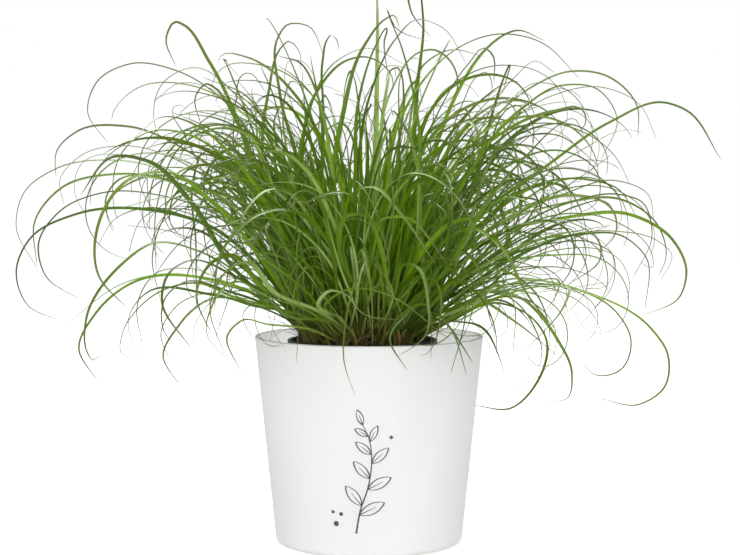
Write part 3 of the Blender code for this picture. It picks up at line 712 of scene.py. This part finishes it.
def soil_height(from_middle):
    """The height of the mounded soil at a distance from its middle, before its lumps."""
    edge = NURSERY_TOP - SOIL_EDGE_DROP
    share = min(from_middle / soil_radius(edge), 1.0)
    return edge + SOIL_MOUND * (1 - share**2)


def lumpy(x, y):
    """How much the soil's lumps raise or lower it."""
    return SOIL_LUMP * sum(part * noise.noise((x * close, y * close, layer)) for close, part, layer in LUMPS)


def make_soil(draw):
    """The soil, with a crumbly surface and loose crumbs on it."""
    edge_z = NURSERY_TOP - SOIL_EDGE_DROP
    edge = soil_radius(edge_z)
    foot_z = POT_FLOOR + NURSERY_WALL + 2 * GAP
    profile = [(0.0, soil_height(0.0))]
    profile += [(edge * i / SOIL_RINGS, soil_height(edge * i / SOIL_RINGS)) for i in range(1, SOIL_RINGS + 1)]
    profile += [(soil_radius(foot_z), foot_z), (0.0, foot_z)]
    points, faces = lathed(profile, SOIL_SIDES, NURSERY_MIDDLE)
    for i, (x, y, z) in enumerate(points[: 1 + SOIL_RINGS * SOIL_SIDES]):
        far = math.hypot(x - NURSERY_MIDDLE.x, y) / edge
        points[i] = (x, y, z + lumpy(x, y) * min(1.0, (1 - far) * LUMPS_GROW + LUMPS_AT_EDGE))
    work = bmesh.new()
    added(work, points, faces)
    for _ in range(CRUMBS):
        size = draw.uniform(*CRUMB_SIZE) * draw.uniform(*CRUMB_VARIES)
        away = (edge - CRUMB_SIZE[1]) * math.sqrt(draw.random())
        angle = draw.uniform(0, math.tau)
        x = NURSERY_MIDDLE.x + away * math.cos(angle)
        y = away * math.sin(angle)
        z = soil_height(away) + lumpy(x, y) + size * CRUMB_RAISED
        turn = Euler([draw.uniform(0, math.tau) for _ in range(3)]).to_matrix().to_4x4()
        width = size * draw.uniform(*CRUMB_WIDTH)
        height = size * draw.uniform(*CRUMB_HEIGHT)
        shape = Matrix.Diagonal((size, width, height, 1.0))
        crumb = bmesh.ops.create_icosphere(
            work, subdivisions=1, radius=1.0, matrix=Matrix.Translation((x, y, z)) @ turn @ shape
        )
        for vert in crumb["verts"]:
            vert.co += Vector([draw.uniform(-CRUMB_UNEVEN, CRUMB_UNEVEN) * size for _ in range(3)])
    mesh = bpy.data.meshes.new("potting_soil")
    work.to_mesh(mesh)
    work.free()
    mesh.shade_smooth()
    mesh.set_sharp_from_angle(angle=math.radians(SOIL_SHARP))
    soil = in_scene("potting_soil", mesh, soil_finish())
    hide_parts("soil")


def lengths_along(points):
    """Each point's length along the line through them all."""
    steps = np.linalg.norm(np.diff(points, axis=0), axis=1)
    return np.concatenate(([0.0], np.cumsum(steps)))


def smooth_curve(points, start):
    """Close points along the smooth curve through the points given, which leaves the first one along start,
    and the place of each in the list of those given."""
    gaps = np.diff(lengths_along(points))
    slopes = np.diff(points, axis=0) / gaps[:, None]
    tangents = np.empty_like(points)
    tangents[0] = start
    tangents[-1] = slopes[-1]
    weights = (gaps[1:] / (gaps[:-1] + gaps[1:]))[:, None]
    tangents[1:-1] = slopes[:-1] * weights + slopes[1:] * (1 - weights)
    line = []
    places = []
    for i, gap in enumerate(gaps):
        t = np.linspace(0, 1, max(round(gap / LEAF_STEP), 2), endpoint=False)[:, None]
        line.append(
            (2 * t**3 - 3 * t**2 + 1) * points[i]
            + (t**3 - 2 * t**2 + t) * gap * tangents[i]
            + (3 * t**2 - 2 * t**3) * points[i + 1]
            + (t**3 - t**2) * gap * tangents[i + 1]
        )
        places.append(i + t[:, 0])
    return np.concatenate(line + [points[-1:]]), np.concatenate(places + [[len(gaps)]])


def blade_width(share):
    """A blade's width at a share of its length, against its greatest width."""
    opening = np.clip(share / OPEN_AT, 0, 1)
    opening = opening * opening * (3 - 2 * opening)
    closing = np.clip((1 - share) / (1 - TAPER_FROM), 0, 1) ** TAPER_POWER
    return (FOOT_WIDTH + (1 - FOOT_WIDTH) * opening) * closing


class Leaf:
    """A leaf: close points along its middle, its upper side's directions, and its greatest half-width."""

    def __init__(self, line, upper, widest, dry=0.0):
        self.line = line
        self.upper = upper
        self.widest = widest
        self.dry = dry
        self.along = lengths_along(line)
        self.share = self.along / self.along[-1]
        self.half_widths = np.maximum(widest * blade_width(self.share), THREAD)


def links_of(node):
    """(points, neighbours) of a CAD node's corners, with those that share a place taken as one."""
    work = bmesh.new()
    work.from_mesh(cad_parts[node].data)
    bmesh.ops.remove_doubles(work, verts=work.verts, dist=WELD)
    work.verts.index_update()
    points = np.array([v.co[:] for v in work.verts])
    links = [{edge.other_vert(v).index for edge in v.link_edges} for v in work.verts]
    work.free()
    return points, links


def rings_from(links, tip, sheath):
    """The rings of a blade's corners, from the one nearest its sheath to its tip."""
    rings = [[tip]]
    seen = {tip}
    ring = links[tip]
    while len(ring) == 3 and not ring & sheath:
        rings.append(sorted(ring))
        seen = seen | ring
        ring = {j for i in ring for j in links[i]} - seen
    return rings[::-1]


def read_shoot(node):
    """(foot, leaves) of a CAD shoot: the middle of its sheath's foot, and a leaf for each of its blades."""
    points, links = links_of(node)
    heights, sharing = np.unique(np.round(points[:, 2], 6), return_counts=True)
    low = heights[sharing >= SHEATH_SIDES].min()
    foot = points[np.abs(points[:, 2] - low) < 2 * WELD].mean(axis=0)
    away = np.linalg.norm(points[:, :2] - foot[:2], axis=1)
    in_sheath = (points[:, 2] < low + SHEATH_HEIGHT + WELD) & (away < SHEATH_RADIUS + BESIDE_SHEATH)
    sheath = set(np.flatnonzero(in_sheath).tolist())
    leaves = []
    for tip, near in enumerate(links):
        pointed = len(near) == 3 and all(near <= links[i] | {i} for i in near)
        if pointed and np.linalg.norm(points[tip] - foot) > SHORTEST_BLADE:
            leaves.append(read_blade(points, rings_from(links, tip, sheath), foot))
    return foot, leaves


def read_blade(points, rings, foot):
    """The leaf of a blade's rings of three corners, two at its edges and one on its keel, and of its tip."""
    middles = []
    uppers = []
    widths = []
    for ring in rings[:-1]:
        corners = points[ring]
        spans = [np.linalg.norm(corners[i - 2] - corners[i - 1]) for i in range(3)]
        keel = spans.index(max(spans))
        middle = (corners[keel - 2] + corners[keel - 1]) / 2
        middles.append(middle)
        uppers.append(unit(middle - corners[keel]))
        widths.append(max(spans))
    out = unit((middles[0] - foot) * (1.0, 1.0, 0.0))
    from_middle = (foot - NURSERY_MIDDLE) * (1.0, 1.0, 0.0)
    start = foot + out * LEAF_FOOT_OUT - from_middle * LEAN_IN + (0.0, 0.0, LEAF_FOOT_UP)
    middles = np.array([start, *middles, points[rings[-1][0]]])
    uppers = np.array([uppers[0], *uppers, uppers[-1]])
    line, places = smooth_curve(middles, unit(middles[1] - start))
    order = np.arange(len(middles))
    upper = np.stack([np.interp(places, order, uppers[:, axis]) for axis in range(3)], axis=1)
    widest = min(max(widths) / 2 * WIDER, lengths_along(line)[-1] * WIDEST_SHARE)
    return Leaf(line, unit(upper), widest)


def turned_round(vectors, axis, angles):
    """The vectors, each turned round the axis by its own angle in radians."""
    cosines = np.cos(angles)[..., None]
    sines = np.sin(angles)[..., None]
    across = np.cross(axis, vectors)
    return vectors * cosines + across * sines + np.outer(vectors @ axis, axis) * (1 - cosines)


def rolled(line, upper, angles):
    """The directions of a leaf's upper side, each rolled about its line by an angle in radians."""
    ahead = unit(np.gradient(line, axis=0))
    upper = unit(upper - ahead * np.sum(upper * ahead, axis=1, keepdims=True))
    return upper * np.cos(angles)[:, None] + np.cross(ahead, upper) * np.sin(angles)[:, None]


def clear_of_pots(leaf):
    """True if the leaf passes through neither pot nor the soil, once it has left its sheath."""
    free = leaf.along > SHEATH_HEIGHT
    x, y, z = leaf.line[free].T
    half = leaf.half_widths[free]
    from_axis = np.hypot(x, y)
    beside = from_axis > pot_wall_radius(z) + half + CLEAR_OF_POT
    above = z > POT_HEIGHT + half + CLEAR_OF_POT
    over_soil = z > NURSERY_TOP + SOIL_MOUND
    in_nursery = over_soil & (np.hypot(x - NURSERY_MIDDLE.x, y) < soil_radius(NURSERY_TOP) - half)
    return bool((beside | above | in_nursery).all() and (z > CLEAR_OF_POT).all())


def in_dome(leaf):
    """True if the leaf stays in the frame's box and the clump's dome, and hangs no lower than it may."""
    low, high = (np.array(corner) for corner in cad_box)
    away = np.hypot(leaf.line[:, 0], leaf.line[:, 1]) / DOME_RADIUS
    rise = np.maximum(leaf.line[:, 2] - POT_HEIGHT, 0) / DOME_HEIGHT
    inside = (away**DOME_POWER + rise**DOME_POWER < 1).all() and (leaf.line[:, 2] > LOWEST_TIP).all()
    in_front = (leaf.line[:, 1] < -POT_FOOT_RADIUS) & (np.abs(leaf.line[:, 0]) < POT_RIM_RADIUS)
    inside = inside and (leaf.line[in_front, 2] > LOWEST_IN_FRONT).all()
    return bool(inside and (leaf.line > low).all() and (leaf.line < high).all())


def over_rim(leaf):
    """True if the leaf rises well over the cachepot's rim on its way out."""
    away = np.hypot(leaf.line[:, 0], leaf.line[:, 1])
    least = POT_HEIGHT + SLOPE_OVER_RIM * (away - NURSERY_RIM_RADIUS)
    return bool(((away > PAST_RIM) | (away < NURSERY_RIM_RADIUS) | (leaf.line[:, 2] > least)).all())


def finer_leaf(pattern, pattern_foot, foot, facing, kind, draw):
    """A leaf at a shoot's foot, on a path that starts out like its pattern's, turned by facing."""
    _, follows, size, width, turn, lean, swing, twist, curl = kind
    kept = pattern.share <= draw.uniform(*follows)
    line = (pattern.line[kept] - pattern_foot) * draw.uniform(*size)
    upper = pattern.upper[kept]
    along = lengths_along(line)
    share = along / along[-1]
    sideways = unit(np.cross(line[-1] * (1.0, 1.0, 0.0), UP) + (NEARLY_NONE, 0, 0))
    tip = np.radians(np.full(len(share), draw.uniform(*lean)))
    around = facing + np.radians(draw.uniform(-turn, turn) + draw.uniform(-swing, swing) * share**SWING_POWER)
    end = np.clip((share - CURL_FROM) / (1 - CURL_FROM), 0, 1) ** CURL_POWER
    curled = -np.radians(draw.uniform(*curl)) * end
    steps = turned_round(np.diff(line, axis=0, prepend=line[:1]), sideways, curled)
    line = line[0] + np.cumsum(steps, axis=0)
    upper = turned_round(upper, sideways, curled)
    line = turned_round(turned_round(line, sideways, tip), UP, around)
    upper = turned_round(turned_round(upper, sideways, tip), UP, around)
    ahead = unit(np.gradient(line, axis=0))
    wave = draw.uniform(*WAVE) * np.sin(share * draw.uniform(*WAVES) + draw.uniform(*WAVE_START))
    wave = wave * share**WAVE_POWER
    line = line + foot + wave[:, None] * np.cross(ahead, upper)
    upper = rolled(line, upper, np.radians(draw.uniform(-twist, twist)) * share)
    widest = min(pattern.widest * draw.uniform(*width), lengths_along(line)[-1] * WIDEST_SHARE)
    return Leaf(line, upper, widest)


def finer_leaves(pattern, pattern_foot, foot, facing, kind, count, draw):
    """That many leaves of a kind, or fewer where some find no way clear of the pots and inside the frame."""
    found = []
    for _ in range(count):
        for _ in range(COMPANION_TRIES):
            tried = finer_leaf(pattern, pattern_foot, foot, facing, kind, draw)
            if clear_of_pots(tried) and over_rim(tried) and in_dome(tried):
                found.append(tried)
                break
    return found


def azimuth(place):
    """Which way a place lies, seen from above."""
    return math.atan2(place[1], place[0])


def own_leaf(foot, tall, draw):
    """A list of a shoot's own tall leaf, if one fits: it is like any shoot's tall leaf and leans outwards."""
    pattern_foot, pattern = draw.choice(tall)
    away = (foot - np.array(NURSERY_MIDDLE)) * (1.0, SIDEWAYS, 1.0)
    facing = azimuth(away) - azimuth(pattern.line[-1] - pattern_foot)
    return finer_leaves(pattern, pattern_foot, foot, facing, TALL, 1, draw)


def side_shoots(foot, draw):
    """Feet of the side shoots round a shoot's foot, on the soil."""
    found = []
    while len(found) < SIDE_SHOOTS:
        turn = draw.uniform(0, math.tau)
        away = draw.uniform(*SIDE_SHOOT_AWAY)
        x = foot[0] + away * math.cos(turn)
        y = foot[1] + away * math.sin(turn)
        from_middle = math.hypot(x - NURSERY_MIDDLE.x, y)
        if from_middle < soil_radius(NURSERY_TOP) - SIDE_SHOOT_INSIDE:
            found.append(np.array((x, y, soil_height(from_middle))))
        elif draw.random() < SIDE_SHOOT_AT_FOOT:
            found.append(foot)
    return found


def dry_bits(foot, kind, draw):
    """Old brown scales or threads that stand round a shoot's foot."""
    count, length, half_width, lean, bend = kind
    found = []
    for _ in range(draw.randint(*count)):
        turn = draw.uniform(0, math.tau)
        out = np.array((math.cos(turn), math.sin(turn), 0.0))
        share = np.linspace(0, 1, DRY_POINTS)
        angles = np.radians(draw.uniform(*lean) + draw.uniform(*bend) * share)[:, None]
        ways = UP * np.cos(angles) + out * np.sin(angles)
        steps = ways * draw.uniform(*length) / (DRY_POINTS - 1)
        line = foot + out * MAIN_STEM_RADIUS * DRY_FOOT_OUT + np.cumsum(steps, axis=0) - steps[0]
        upper = UP * np.sin(angles) - out * np.cos(angles)
        dried = Leaf(line, upper, draw.uniform(*half_width), dry=draw.uniform(*DRYNESS))
        if clear_of_pots(dried):
            found.append(dried)
    return found


class Blades:
    """The blades of one shoot, gathered as one mesh, with the values that the leaf's colours go by."""

    def __init__(self):
        self.points = []
        self.faces = []
        self.values = {"along": [], "across": [], "tone": [], "dry": [], "rise": []}

    def add_tube(self, rings, end, **values):
        """A tube through rings of corners, flat at its start and pointed at its end, and its corners' values:
        one for all of them, or one for each."""
        first = sum(len(p) for p in self.points)
        count, sides = rings.shape[:2]
        last = first + (count - 1) * sides
        self.points.append(np.concatenate((rings.reshape(-1, 3), [end])))
        for name, value in values.items():
            self.values[name].append(np.broadcast_to(value, count * sides + 1))
        self.faces.append(tuple(range(first + sides - 1, first - 1, -1)))
        for low in range(first, last, sides):
            for i in range(sides):
                j = (i + 1) % sides
                self.faces.append((low + i, low + j, low + sides + j, low + sides + i))
        for i in range(sides):
            self.faces.append((last + i, last + (i + 1) % sides, last + sides))

    def add(self, leaf, tone, fold):
        """A folded blade: its edges, the middles of its halves and its midrib above, and its keel below."""
        line = leaf.line
        share = leaf.share
        ahead = unit(np.gradient(line, axis=0))
        across = unit(np.cross(ahead, leaf.upper))
        upper = np.cross(across, ahead)
        half = leaf.half_widths
        angle = np.radians(np.clip(np.interp(share, FOLD_AT, FOLD) * fold, *FOLD_LIMITS))
        keel = KEEL_LEAST + KEEL_SHARE * half
        wide = half * np.cos(angle) ** 0.5
        high = half * np.sin(angle)
        bulge = BULGE * half
        none = np.zeros_like(half)
        places = (
            (-wide, high, -1.0),
            (-wide / 2, high / 2 + bulge, -0.5),
            (none, none, 0.0),
            (wide / 2, high / 2 + bulge, 0.5),
            (wide, high, 1.0),
            (none, -keel, 0.0),
        )
        sides = len(places)
        corners = [line + across * x[:, None] + upper * (y - high / 3)[:, None] for x, y, _ in places]
        rings = np.stack(corners, axis=1)[:-1]
        self.add_tube(
            rings,
            line[-1],
            along=np.append(np.repeat(share[:-1], sides), 1.0),
            across=np.append(np.tile([p[2] for p in places], len(rings)), 0.0),
            tone=tone,
            dry=leaf.dry,
            rise=np.append(np.repeat(leaf.along[:-1], sides), leaf.along[-1]) / RISE_UNIT,
        )

    def add_stem(self, leaves, radius, height, draw):
        """The sheaths' stem: ribbed and three-cornered, narrower above, and bent as its leaves are."""
        share = np.linspace(0, 1, STEM_RINGS)
        angles = np.arange(STEM_SIDES) / STEM_SIDES * math.tau
        phase = draw.uniform(0, math.tau)
        cornered = 1 + CORNER_DEPTH * np.cos(STEM_CORNERS * angles + phase)
        lobes = cornered + RIB_DEPTH * np.cos(STEM_RIBS * angles + phase)
        around = np.stack((np.cos(angles), np.sin(angles), np.zeros(STEM_SIDES)), axis=1)
        middles = up_the_middle(leaves, height)
        middles[0] -= (0.0, 0.0, LEAF_FOOT_UP)
        rings = []
        for middle, t in zip(middles, share):
            narrowed = 1 - STEM_TAPER * t**STEM_TAPER_POWER
            rings.append(middle + around * lobes[:, None] * radius * narrowed)
        self.add_tube(
            np.array(rings),
            middles[-1] + unit(middles[-1] - middles[-2]) * radius,
            along=0.0,
            across=np.append(np.tile(np.cos(STEM_CORNERS * angles), STEM_RINGS), 0.0),
            tone=draw.random(),
            dry=draw.uniform(*BROWNNESS) if draw.random() < BROWN_STEMS else 0.0,
            rise=np.append(np.repeat(share, STEM_SIDES), 1.0) * height / RISE_UNIT,
        )

    def mesh(self, name):
        made = bpy.data.meshes.new(name)
        made.from_pydata(np.concatenate(self.points).tolist(), [], self.faces)
        for key, values in self.values.items():
            attribute = made.attributes.new(key, "FLOAT", "POINT")
            attribute.data.foreach_set("value", np.concatenate(values).astype(np.float32))
        made.shade_smooth()
        made.set_sharp_from_angle(angle=math.radians(BLADE_SHARP))
        return made


def up_the_middle(leaves, height):
    """Points up the middle of leaves that grow from one stem, from their feet to a height along them."""
    at = np.linspace(0, height, STEM_RINGS)
    lines = [np.stack([np.interp(at, leaf.along, axis) for axis in leaf.line.T], axis=1) for leaf in leaves]
    return np.mean(lines, axis=0)


def make_shoot(node, shoot, tall, finish, draw):
    """One shoot in place of its solid: the solid's leaves as fine blades, and its side shoots' leaves."""
    foot, leaves = shoot
    blades = Blades()
    blades.add_stem(leaves, MAIN_STEM_RADIUS, SHEATH_HEIGHT, draw)
    tone = draw.uniform(*SHOOT_TONE)
    feet = side_shoots(foot, draw)
    sides = [[] for _ in feet]
    for leaf in leaves:
        twist = np.radians(draw.uniform(-OWN_TWIST, OWN_TWIST))
        leaf.upper = rolled(leaf.line, leaf.upper, twist * leaf.share**2)
        kinds = []
        length = leaf.along[-1]
        tip = leaf.line[-1]
        if length > TWIN_BESIDE and tip[0] > TWIN_LEFT:
            kinds.append(TWIN)
        if math.hypot(tip[0], tip[1]) > THIN_BESIDE and tip[0] > THIN_LEFT:
            kinds.append(THIN)
        if length > SHORT_BESIDE:
            kinds.append(SHORT)
        for kind in kinds:
            side = draw.randrange(SIDE_SHOOTS)
            sides[side] += finer_leaves(leaf, foot, feet[side], 0.0, kind, kind[0], draw)
    for _ in range(TALL[0]):
        side = draw.randrange(SIDE_SHOOTS)
        sides[side] += own_leaf(feet[side], tall, draw)
    grown = list(leaves)
    for side in sides:
        if side:
            grown += side
            blades.add_stem(side, draw.uniform(*STEM_RADIUS), draw.uniform(*STEM_HEIGHT), draw)
    for leaf in grown:
        blades.add(leaf, min(max(draw.gauss(tone, TONE_VARIES), 0.0), 1.0), draw.uniform(*FOLD_VARIES))
    for any_foot in (foot, *feet):
        for bit in dry_bits(any_foot, SCALES, draw) + dry_bits(any_foot, THREADS, draw):
            blades.add(bit, draw.random(), 1.0)
    piece = in_scene("leaves_of_" + node, blades.mesh(node + "_leaves"), finish)
    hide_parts(node)


def make_shoots(draw):
    """Every shoot of the frame, each in place of its solid."""
    finish = leaf_finish()
    nodes = sorted(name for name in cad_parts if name.startswith("shoot_"))
    shoots = [read_shoot(node) for node in nodes]
    tall = [(foot, leaf) for foot, leaves in shoots for leaf in leaves if leaf.line[:, 2].max() > TALL_FROM]
    for node, shoot in zip(nodes, shoots):
        make_shoot(node, shoot, tall, finish, draw)


def make_camera():
    data = bpy.data.cameras.new("camera")
    data.sensor_width = SENSOR
    data.lens = SENSOR * FOCAL / PICTURE_WIDTH
    data.shift_x = (PICTURE_WIDTH / 2 - AXIS_COLUMN) / PICTURE_WIDTH
    camera = placed("camera", data)
    camera.location = (0.0, -CAMERA_DISTANCE, CAMERA_HEIGHT)
    camera.rotation_euler = (math.pi / 2 - CAMERA_DOWN, 0.0, 0.0)
    bpy.context.scene.camera = camera


def softbox(name, place, aim, width, height, power):
    data = bpy.data.lights.new(name, "AREA")
    data.shape = "RECTANGLE"
    data.size = width
    data.size_y = height
    data.energy = power
    lamp = placed(name, data)
    lamp.location = place
    lamp.rotation_euler = (Vector(aim) - Vector(place)).to_track_quat("-Z", "Y").to_euler()


def floor_finish():
    """White and glowing evenly, except for a painted contact shadow where it glows less round the pot's foot.
    """
    shader = Shader("floor_white")
    grain = shader.noise(35.0, 4.0)
    place = shader.node("TexCoord").outputs["Object"]
    away = shader.node("VectorMath", {"operation": "LENGTH"}, Vector=place).outputs["Value"]
    foot = POT_FOOT_RADIUS - POT_FOOT_ROUND
    # A painted contact shadow: the floor's glow is lowered near the pot's foot.
    near = shader.ramp(away, foot, foot + CONTACT_REACH, 1 - CONTACT_SHADOW, 1.0)
    shader.finish(
        Base_Color=shader.mixed(grain, (0.115, 0.115, 0.115), (0.125, 0.125, 0.125)),
        Roughness=0.9,
        Emission_Color=WHITE,
        Emission_Strength=shader.math("MULTIPLY", FLOOR_GLOW, near),
        Specular_IOR_Level=0.0,
    )
    return shader.material


def make_floor():
    mesh = bpy.data.meshes.new("floor")
    corners = [(x * FLOOR_REACH, y * FLOOR_REACH, 0) for x, y in ((-1, -1), (1, -1), (1, 1), (-1, 1))]
    mesh.from_pydata(corners, [], [(0, 1, 2, 3)])
    mesh.materials.append(floor_finish())
    floor = placed("floor", mesh)


def make_surround():
    """A surround that is seen as white, and lights the scene more from overhead than from the horizon."""
    world = bpy.data.worlds.new("surround")
    world.use_nodes = True
    nodes = Nodes(world.node_tree)
    seen = world.node_tree.nodes["Background"]
    nodes.put(seen, "Color", WHITE)
    place = nodes.node("TexCoord").outputs["Generated"]
    height = nodes.node("SeparateXYZ", Vector=place).outputs["Z"]
    graded = nodes.node("MapRange", Value=height, From_Min=0.0, To_Min=SURROUND_LOW, To_Max=SURROUND_HIGH)
    lit = nodes.node("Background", Color=WHITE, Strength=graded.outputs["Result"])
    is_seen = nodes.node("LightPath").outputs["Is Camera Ray"]
    nodes.put(world.node_tree.nodes["World Output"], "Surface", nodes.blended(is_seen, lit, seen))
    bpy.context.scene.world = world


def make_studio():
    """A white floor that runs to a white surround, and soft light from above, in front and behind."""
    make_floor()
    make_surround()
    for name, place, width, height, power in SOFTBOXES:
        softbox(name, place, LIT_POINT, width, height, power)
    bpy.context.scene.view_settings.view_transform = "Standard"
    bpy.context.scene.view_settings.look = "None"


draw = random.Random(SEED)
make_camera()
make_pot()
make_nursery_pot()
make_soil(draw)
make_shoots(draw)
make_studio()
